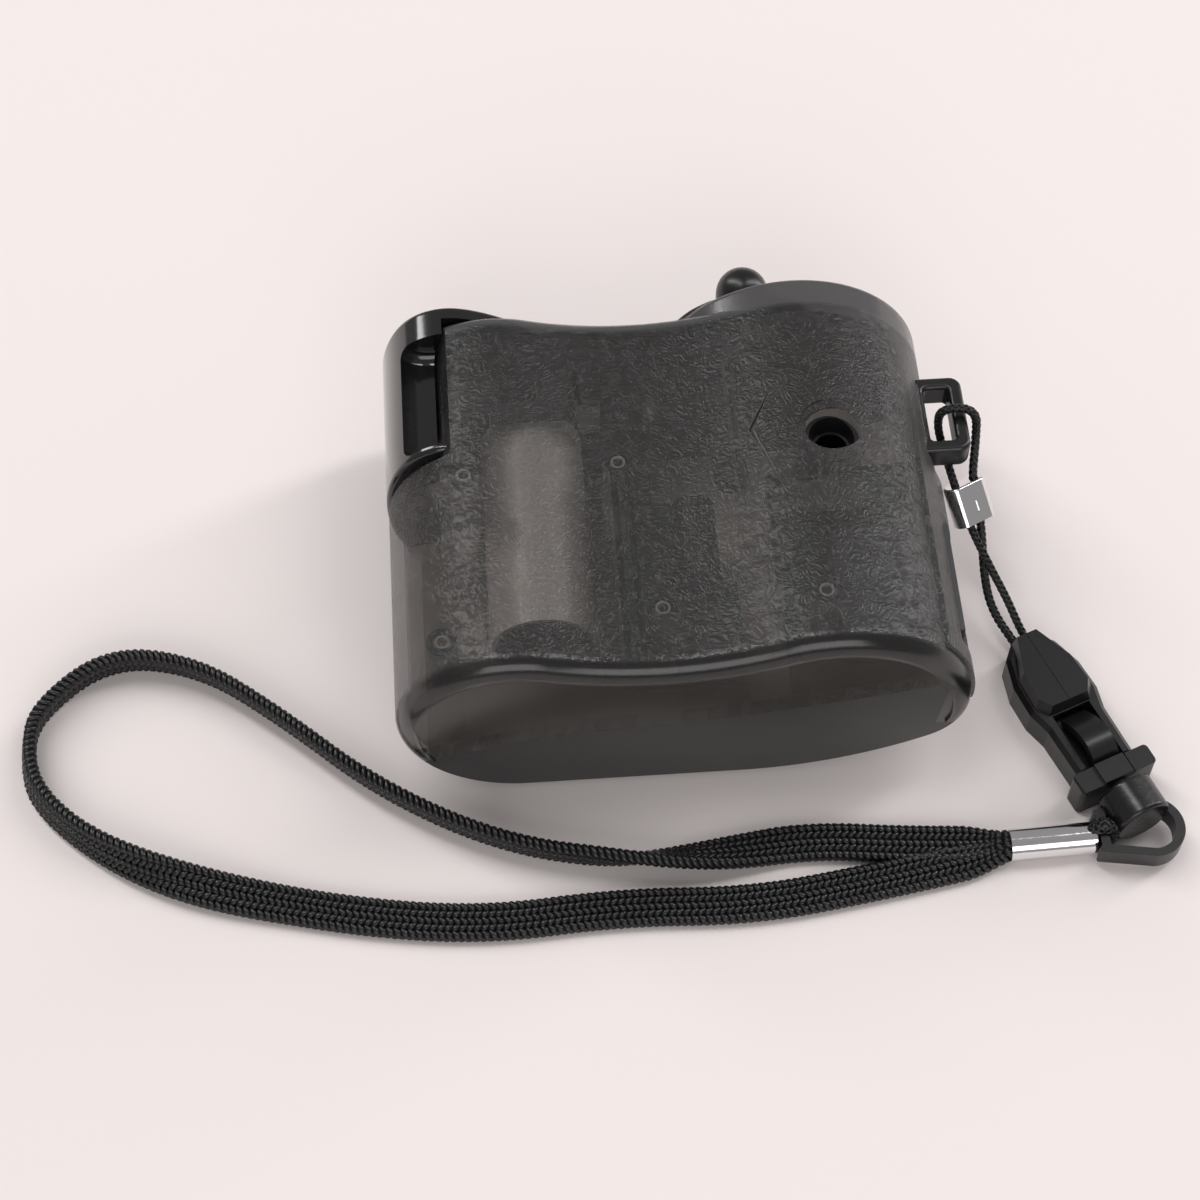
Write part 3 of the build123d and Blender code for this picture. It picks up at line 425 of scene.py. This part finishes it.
# The strap's end comes out of the ferrule again and holds the ring.
STRAP_EYE = [
    (42.2, -32.9, 3.0), (43.3, -32.9, 4.05), (44.2, -33.0, 3.3), (44.35, -33.0, 2.1),
    (44.1, -33.1, 0.95), (43.2, -33.2, 0.9), (42.3, -33.2, 0.9)]
EYE_RADIUS, EYE_PITCH = 0.00085, 0.0030
# Shares of the strap's length where it stands up on its edge, and where its ends are gathered.
STRAP_TILT, TILT_RISES, TILT_FALLS = radians(78), (0.10, 0.20), (0.55, 0.68)
TILT_LEAN = 0.62
ENDS_GATHER = 0.028
ROUND_STEP, FLAT_STEP = 0.00022, 0.00017                    # metres between rows of vertices


def round_braid(path, radius, pitch=0.0026, strands=8):
    """Round braid: strands wind both ways and pass over and under each other."""
    length = run_length(path)
    steps = int(length / ROUND_STEP)
    centres = even_steps(path, steps)
    rows, side = [], None
    for i, centre in enumerate(centres):
        along = heading(centres, i)
        side = (side - along * side.dot(along)) if side else along.cross(Vector((0.1, 0.2, 1)))
        side.normalize()
        rows.append((centre, side.copy(), along.cross(side)))
    shapes = [tube_along(centres, radius * 0.72, 8)]
    for s in range(strands):
        way = 1 if s % 2 else -1
        start = 2 * pi * (s // 2) / (strands / 2)
        line = []
        for i, (centre, side, up) in enumerate(rows):
            turn = start + way * 2 * pi * (length * i / steps) / pitch
            weave = sin(turn * strands / 2 * way + (0 if way > 0 else pi))
            r = radius * (0.80 + 0.09 * weave)
            line.append(centre + side * (r * cos(turn)) + up * (r * sin(turn)))
        shapes.append(tube_along(line, radius * 0.24, 5))
    return join_shapes(shapes)


def eased(value, low, high):
    """Smooth step from 0 at low to 1 at high."""
    part = min(1.0, max(0.0, (value - low) / (high - low)))
    return part * part * (3 - 2 * part)


def flat_braid(path, width, thickness, wales, stitch=0.00075):
    """Flat braid of twisted pairs side by side, on its edge along the far part, and its centres."""
    length = run_length(path)
    steps = int(length / FLAT_STEP)
    centres = even_steps(path, steps)
    rows = []
    for i, centre in enumerate(centres):
        share = i / steps
        along = heading(centres, i)
        side = along.cross(Vector((0, 0, 1))).normalized()
        up = side.cross(along)
        tilt = STRAP_TILT * eased(share, *TILT_RISES) * (1 - eased(share, *TILT_FALLS))
        rise = (width / 2 * sin(tilt) + thickness / 2 * cos(tilt)) - thickness / 2
        gathered = 1 - min(eased(share, 0.0, ENDS_GATHER), eased(1 - share, 0.0, ENDS_GATHER))
        rows.append((centre + Vector((0, -TILT_LEAN * rise, rise)),
                     side * cos(tilt) - up * sin(tilt), up * cos(tilt) + side * sin(tilt),
                     share * length, gathered))
    shapes = []
    strand = thickness * 0.20
    for w in range(wales):
        for pair in range(2):
            line = []
            for centre, side, up, run, gathered in rows:
                spacing = (width - thickness * 0.75) / (wales - 1) * (1 - 0.70 * gathered)
                turn = (1 if w % 2 else -1) * pi * run / stitch + pi * pair
                across = (w - (wales - 1) / 2) * spacing + strand * 0.95 * cos(turn)
                lift = (thickness / 2 - strand) * (1 + 0.9 * gathered) * sin(turn)
                line.append(centre + side * across + up * lift)
            shapes.append(tube_along(line, strand * 1.18, 6))
    return join_shapes(shapes), [row[0] for row in rows]


def strap_route():
    """Control points of the strap: out along the upper strand and back along the lower."""
    there = [(x, y, STRAP_Z) for x, y in STRAP_UPPER]
    back = [(x, y, STRAP_Z) for x, y in reversed(STRAP_LOWER[:-1])]
    return [*STRAP_OUT, *there, *back, *STRAP_BACK]


# ---------------------------------------------------------------- settings
class CHARGER_PG_looks(bpy.types.PropertyGroup):
    """Colours and sizes that a user may change."""
    shell_color: FloatVectorProperty(
        name="Shell colour", description="Smoked plastic of the front",
        subtype="COLOR", default=(0.030, 0.029, 0.029), min=0, max=1)
    rear_color: FloatVectorProperty(
        name="Rear colour", description="Smoked plastic of the back",
        subtype="COLOR", default=(0.045, 0.045, 0.045), min=0, max=1)
    plate_color: FloatVectorProperty(
        name="End plate", description="Smoked plate at the plain end",
        subtype="COLOR", default=(0.062, 0.056, 0.052), min=0, max=1)
    shell_density: FloatProperty(
        name="Shell density", description="How much the smoked front hides",
        default=0.50, min=0.1, max=1.0)
    black: FloatVectorProperty(
        name="Black parts", description="Moulded black plastic",
        subtype="COLOR", default=(0.006, 0.006, 0.007), min=0, max=1)
    yarn: FloatVectorProperty(
        name="Yarn", description="Colour of the cord and the strap",
        subtype="COLOR", default=(0.006, 0.006, 0.007), min=0, max=1)
    cord_diameter: FloatProperty(
        name="Cord diameter", description="Diameter of the thin cord",
        default=0.00095, unit="LENGTH", min=0.0004, max=0.002)
    strap_width: FloatProperty(
        name="Strap width", description="Width of the flat braid",
        default=0.0042, unit="LENGTH", min=0.002, max=0.006)
    strap_thickness: FloatProperty(
        name="Strap thickness", description="Thickness of the flat braid",
        default=0.0015, unit="LENGTH", min=0.0008, max=0.003)
    strap_wales: IntProperty(
        name="Strap wales", description="Twisted pairs side by side in the flat braid",
        default=5, min=3, max=9)
    floor_color: FloatVectorProperty(
        name="Floor", description="Pale floor under the charger",
        subtype="COLOR", default=(0.86, 0.80, 0.79), min=0, max=1)


# ---------------------------------------------------------------- stage
FLOOR_HALF = 3
STUDIO_COLOR, STUDIO_STRENGTH = (1.0, 0.97, 0.96, 1), 0.32
# Name, place, width and depth in metres, power in watts, colour.
LAMPS = (
    ("left strip", (-0.30, 0.26, 0.58), 0.12, 0.90, 2.6, (1, 0.99, 0.98)),
    ("right strip", (0.50, 0.24, 0.42), 0.12, 0.90, 2.5, (1, 0.99, 0.99)),
    ("front", (0.0, -0.62, 0.42), 0.60, 0.40, 1.7, (1, 0.98, 0.97)))
LAMP_TARGET = (0, 0, 0.01)
# The camera was fitted to the housing's outline in the photograph of 1200 pixels a side.
CAMERA_ELEVATION, CAMERA_AZIMUTH = radians(58.0), radians(-4.0)
CAMERA_DISTANCE, CAMERA_TARGET = 0.282, (-0.00735, 0.0010, 0.0)
SENSOR_MM, FOCAL_PX, PHOTO_PX = 36.0, 2506.0, 1200.0


class CHARGER_OT_stage(bpy.types.Operator):
    """Pale floor, soft studio light and the camera."""
    bl_idname = "charger.stage"
    bl_label = "Stage"

    def execute(self, context):
        look = context.scene.charger_looks
        material = make_material("floor", look.floor_color, 0.9)[0]
        half = FLOOR_HALF
        corners = [(-half, -half, 0), (half, -half, 0), (half, half, 0), (-half, half, 0)]
        floor = mesh_object("floor", corners, [(0, 1, 2, 3)], material, False)
        world = bpy.data.worlds.new("studio")
        world.use_nodes = True
        studio = world.node_tree.nodes["Background"].inputs
        studio["Color"].default_value = STUDIO_COLOR
        studio["Strength"].default_value = STUDIO_STRENGTH
        context.scene.world = world
        for name, place, width, depth, power, color in LAMPS:
            lamp = bpy.data.lights.new(name, "AREA")
            lamp.shape = "RECTANGLE"
            lamp.energy, lamp.size, lamp.size_y, lamp.color = power, width, depth, color
            obj = bpy.data.objects.new(name, lamp)
            obj.location = place
            aim = Vector(LAMP_TARGET) - Vector(place)
            obj.rotation_euler = aim.to_track_quat("-Z", "Y").to_euler()
            context.scene.collection.objects.link(obj)
        camera = bpy.data.objects.new("camera", bpy.data.cameras.new("camera"))
        level = cos(CAMERA_ELEVATION)
        back = Vector((sin(CAMERA_AZIMUTH) * level, -cos(CAMERA_AZIMUTH) * level,
                       sin(CAMERA_ELEVATION)))
        right = Vector((cos(CAMERA_AZIMUTH), sin(CAMERA_AZIMUTH), 0))
        camera.matrix_world = Matrix((right, back.cross(right), back)).transposed().to_4x4()
        camera.location = Vector(CAMERA_TARGET) + back * CAMERA_DISTANCE
        camera.data.sensor_fit = "HORIZONTAL"
        camera.data.sensor_width = SENSOR_MM
        camera.data.lens = SENSOR_MM * FOCAL_PX / PHOTO_PX
        camera.data.clip_start = 0.01
        context.scene.collection.objects.link(camera)
        context.scene.camera = camera
        context.scene.view_settings.view_transform = "Standard"
        return {"FINISHED"}


# ---------------------------------------------------------------- lanyard
class CHARGER_OT_thin_cord(bpy.types.Operator):
    """Braided loop of thin cord from the buckle round the eye's bar."""
    bl_idname = "charger.thin_cord"
    bl_label = "Thin cord"

    def execute(self, context):
        look = context.scene.charger_looks
        material = braid("cord_black", look.yarn, 0.32)
        path = centreline(spline_curve("thin_cord_line", CORD_ROUTE))
        obj = mesh_object("thin_cord_braid", *round_braid(path, look.cord_diameter / 2), material)
        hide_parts("thin_cord")
        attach(obj, "housing")
        [tuple(p) for p in even_steps(path, 120)]
        return {"FINISHED"}


class CHARGER_OT_wrist_strap(bpy.types.Operator):
    """Flat braided wrist strap lying on the floor."""
    bl_idname = "charger.wrist_strap"
    bl_label = "Wrist strap"

    def execute(self, context):
        look = context.scene.charger_looks
        material = braid("strap_black", look.yarn, 0.30)
        path = centreline(spline_curve("strap_line", strap_route()))
        shape, lie = flat_braid(path, look.strap_width, look.strap_thickness, look.strap_wales)
        obj = mesh_object("wrist_strap_braid", *shape, material)
        eye_path = [Vector(p) * MM for p in STRAP_EYE]
        eye_shape = round_braid(eye_path, EYE_RADIUS, EYE_PITCH)
        eye = mesh_object("strap_eye_braid", *eye_shape, material)
        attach(eye, "housing")
        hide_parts("wrist_strap")
        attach(obj, "housing")
        [tuple(p) for p in even_steps(lie, 160)]
        return {"FINISHED"}


class CHARGER_OT_lanyard_hardware(bpy.types.Operator):
    """Clamp, buckle, swivel, ring and ferrule."""
    bl_idname = "charger.lanyard_hardware"
    bl_label = "Lanyard hardware"

    def execute(self, context):
        look = context.scene.charger_looks
        buckle = ("buckle_head", "buckle_insert", "buckle_latch", "strap_ring")
        dress(metal("chrome", (0.78, 0.78, 0.79), 0.1), "cord_clamp", "ferrule")
        dress(moulded("buckle_black", look.black, 0.30, 3000.0, 0.00002), *buckle)
        dress(moulded("barrel_black", look.black, 0.26, 1800.0, 0.00004), "swivel_barrel")
        round_edges(0.16, *buckle, "cord_clamp")
        round_edges(0.10, "ferrule")
        return {"FINISHED"}


# ---------------------------------------------------------------- housing and crank
# Millimetres. The lobe is the rounded right part of the front, whose axis runs along Y.
LOBE_X, LOBE_Z, LOBE_RADIUS = 15.2, 11.5, 14.8
GROOVE_X, GROOVE_Y, GROOVE_LOW = (8.3, 11.9), (-3.4, 10.8), 23.3
LUG_X, LUG_Y, LUG_Z = 28.6, (5.9, 16.2), (14.8, 18.4)
HOLLOW_X, HOLLOW_Y, HOLLOW_DEPTH = 30, 20.6, 1.2
RIBS_X, RIBS_Y, RIBS_LOW = 25, 20.5, 14
POSTS = ((-21.6, 3.0), (-5.2, 4.8), (-1.9, -13.6), (-24.6, -16.4), (14.6, -14.6))
POST_DEPTH, OVER_ALL = 1.7, 60
# Inner and outer radius and drop of the marks on a post's top. The pale mark round the hole is a
# painted highlight of the light on the pin's rounded end.
POST_MARKS = {"ring": (1.0, 1.6, 0.0), "hole_highlight": (0.55, 0.8, 0.1)}
MARK_HEIGHT = 0.3


def within(value, ends):
    """True for a value strictly between two ends."""
    return ends[0] < value < ends[1]


def in_rib(centre, normal):
    """True for an upright face of the ribs and posts under the front."""
    return (abs(normal.z) < 0.3 and centre.z > RIBS_LOW and abs(centre.y) < RIBS_Y
            and abs(centre.x) < RIBS_X)


def in_groove(centre, normal):
    """True for a wall of the arrow groove, which leans away from the lobe's own surface."""
    outward = normal.x * (centre.x - LOBE_X) + normal.z * (centre.z - LOBE_Z)
    return (within(centre.x, GROOVE_X) and within(centre.y, GROOVE_Y) and centre.z > GROOVE_LOW
            and abs(outward) < 0.8 * LOBE_RADIUS)


def in_lug(centre, normal):
    """True for a face of the strap eye on the right side."""
    return centre.x > LUG_X and within(centre.y, LUG_Y) and within(centre.z, LUG_Z)


def shell_tree():
    """Search tree of both housing shells, for rays."""
    vertices, faces = [], []
    for node in ("front_shell", "rear_shell"):
        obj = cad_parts[node]
        start = len(vertices)
        vertices += [obj.matrix_world @ v.co for v in obj.data.vertices]
        faces += [tuple(start + i for i in face.vertices) for face in obj.data.polygons]
    return BVHTree.FromPolygons(vertices, faces)


def washer(name, place, inner_r, outer_r, material, count=40):
    """Flat ring, its top at a place in mm."""
    section = ((inner_r, 0), (outer_r, 0), (outer_r, -MARK_HEIGHT), (inner_r, -MARK_HEIGHT))
    x, y, top = place
    vertices, faces = [], []
    for k in range(count):
        turn = 2 * pi * k / count
        for r, z in section:
            vertices.append(Vector((x + r * cos(turn), y + r * sin(turn), top + z)) * MM)
    for k in range(count):
        n = (k + 1) % count
        for a in range(4):
            b = (a + 1) % 4
            faces.append((4 * k + a, 4 * k + b, 4 * n + b, 4 * n + a))
    return mesh_object(name, vertices, faces, material, smooth=False)


class CHARGER_OT_housing(bpy.types.Operator):
    """Smoked housing with all that it holds: socket, jack, gears, generator and boards."""
    bl_idname = "charger.housing"
    bl_label = "Housing"

    def execute(self, context):
        look = context.scene.charger_looks
        dress(leathery_shell(), "front_shell")
        dress(plain_shell(), "rear_shell")
        walls = shell_tree()

        def inner(centre, normal):
            """True for a face that looks into the hollow of the housing."""
            reach = walls.ray_cast((centre + normal * 0.02) * MM, normal)[3]
            return (centre.x < HOLLOW_X and abs(centre.y) < HOLLOW_Y
                    and reach is not None and reach > HOLLOW_DEPTH * MM)

        def inner_rib(centre, normal):
            """True for a rib's face in the hollow."""
            return in_rib(centre, normal) and inner(centre, normal)

        front, back = "front_shell", "rear_shell"
        # The inner faces of both shells and the ribs get light browns, far lighter than the dark
        # outside of the same plastic. This is painted light, standing in for the light that comes
        # in through the walls.
        paint(front, inside_plastic_painted_light("shell_inside_painted_light", (0.16, 0.145, 0.135), 0.20), inner)
        paint(front, inside_plastic_painted_light("shell_ribs_painted_light", (0.30, 0.27, 0.245), 0.55), inner_rib)
        paint(back, inside_plastic_painted_light("rear_inside_painted_light", (0.55, 0.485, 0.44), 0.95), inner)
        # The arrow groove's walls get a pale grey on the dark shell: a painted highlight along the
        # groove's edges.
        paint(front, moulded("groove_wall_painted_highlight", (0.34, 0.32, 0.30), 0.22, 4000.0, 0.00001), in_groove)
        paint(front, moulded("lug_black", (0.012, 0.012, 0.013), 0.25, 3000.0, 0.00001), in_lug)

        dress(moulded("jack_black", look.black, 0.4), "jack_sleeve")
        dress(moulded("inner_black", look.black, 0.45),
              "gear_deck", "motor_end_cap", "capacitor", "diodes", "usb_tongue")
        dress(moulded("gear_plastic", (0.012, 0.012, 0.013), 0.5),
              "drive_gear", "idler_gear_1", "idler_gear_2")
        dress(metal("plain_steel", (0.55, 0.55, 0.56), 0.35),
              "shell_screws", "idler_pins", "hinge_pin", "grip_screw")
        dress(metal("dark_steel", (0.09, 0.09, 0.095), 0.4), "usb_shell")
        dress(metal("can_steel", (0.62, 0.56, 0.52), 0.45, 900.0, (1, 0.05, 1), metallic=0.4),
              "motor_can", "rotor")
        dress(metal("brass_gear", (0.69, 0.5, 0.25), 0.3), "motor_pinion")
        dress(laminate(), "circuit_board", "socket_board")

        # The pale mark round each hole is a painted highlight.
        mark_looks = {"ring": moulded("post_ring", (0.010, 0.010, 0.011), 0.5),
                  "hole_highlight": moulded("post_hole", (0.30, 0.27, 0.25), 0.35)}
        for k, (x, y) in enumerate(POSTS):
            hit = walls.ray_cast(Vector((x, y, OVER_ALL)) * MM, Vector((0, 0, -1)))[0]
            top = hit.z / MM - POST_DEPTH
            for name, (inner_r, outer_r, drop) in POST_MARKS.items():
                place = (x, y, top - drop)
                mark = washer(f"post_{name}_{k + 1}", place, inner_r, outer_r, mark_looks[name])
                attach(mark, "housing")
        return {"FINISHED"}


class CHARGER_OT_crank(bpy.types.Operator):
    """Crank hub, arm and grip."""
    bl_idname = "charger.crank"
    bl_label = "Crank"

    def execute(self, context):
        look = context.scene.charger_looks
        dress(moulded("crank_black", look.black, 0.30, 3000.0, 0.00002), "crank_hub")
        dress(moulded("grip_black", look.black, 0.12, 2500.0, 0.000004, 0.5),
              "crank_grip", "crank_arm")
        return {"FINISHED"}


# ---------------------------------------------------------------- panel and registration
class CHARGER_PT_panel(bpy.types.Panel):
    """Sidebar panel with every piece of the charger."""
    bl_idname = "CHARGER_PT_panel"
    bl_label = "Charger"
    bl_space_type = "VIEW_3D"
    bl_region_type = "UI"
    bl_category = "Charger"

    def draw(self, context):
        for operator in OPERATORS:
            self.layout.operator(operator.bl_idname)
        for name in CHARGER_PG_looks.__annotations__:
            self.layout.prop(context.scene.charger_looks, name)


OPERATORS = (CHARGER_OT_stage, CHARGER_OT_thin_cord, CHARGER_OT_wrist_strap, CHARGER_OT_housing,
             CHARGER_OT_crank, CHARGER_OT_lanyard_hardware)
CLASSES = (CHARGER_PG_looks, *OPERATORS, CHARGER_PT_panel)


def register():
    """Register the classes and the settings."""
    for cls in CLASSES:
        bpy.utils.register_class(cls)
    bpy.types.Scene.charger_looks = bpy.props.PointerProperty(type=CHARGER_PG_looks)


def unregister():
    """Remove the settings and the classes."""
    del bpy.types.Scene.charger_looks
    for cls in reversed(CLASSES):
        bpy.utils.unregister_class(cls)


def main():
    """Build every piece in order."""
    register()
    for operator in OPERATORS:
        group, name = operator.bl_idname.split(".")
        getattr(getattr(bpy.ops, group), name)()


if __name__ == "__main__":
    main()
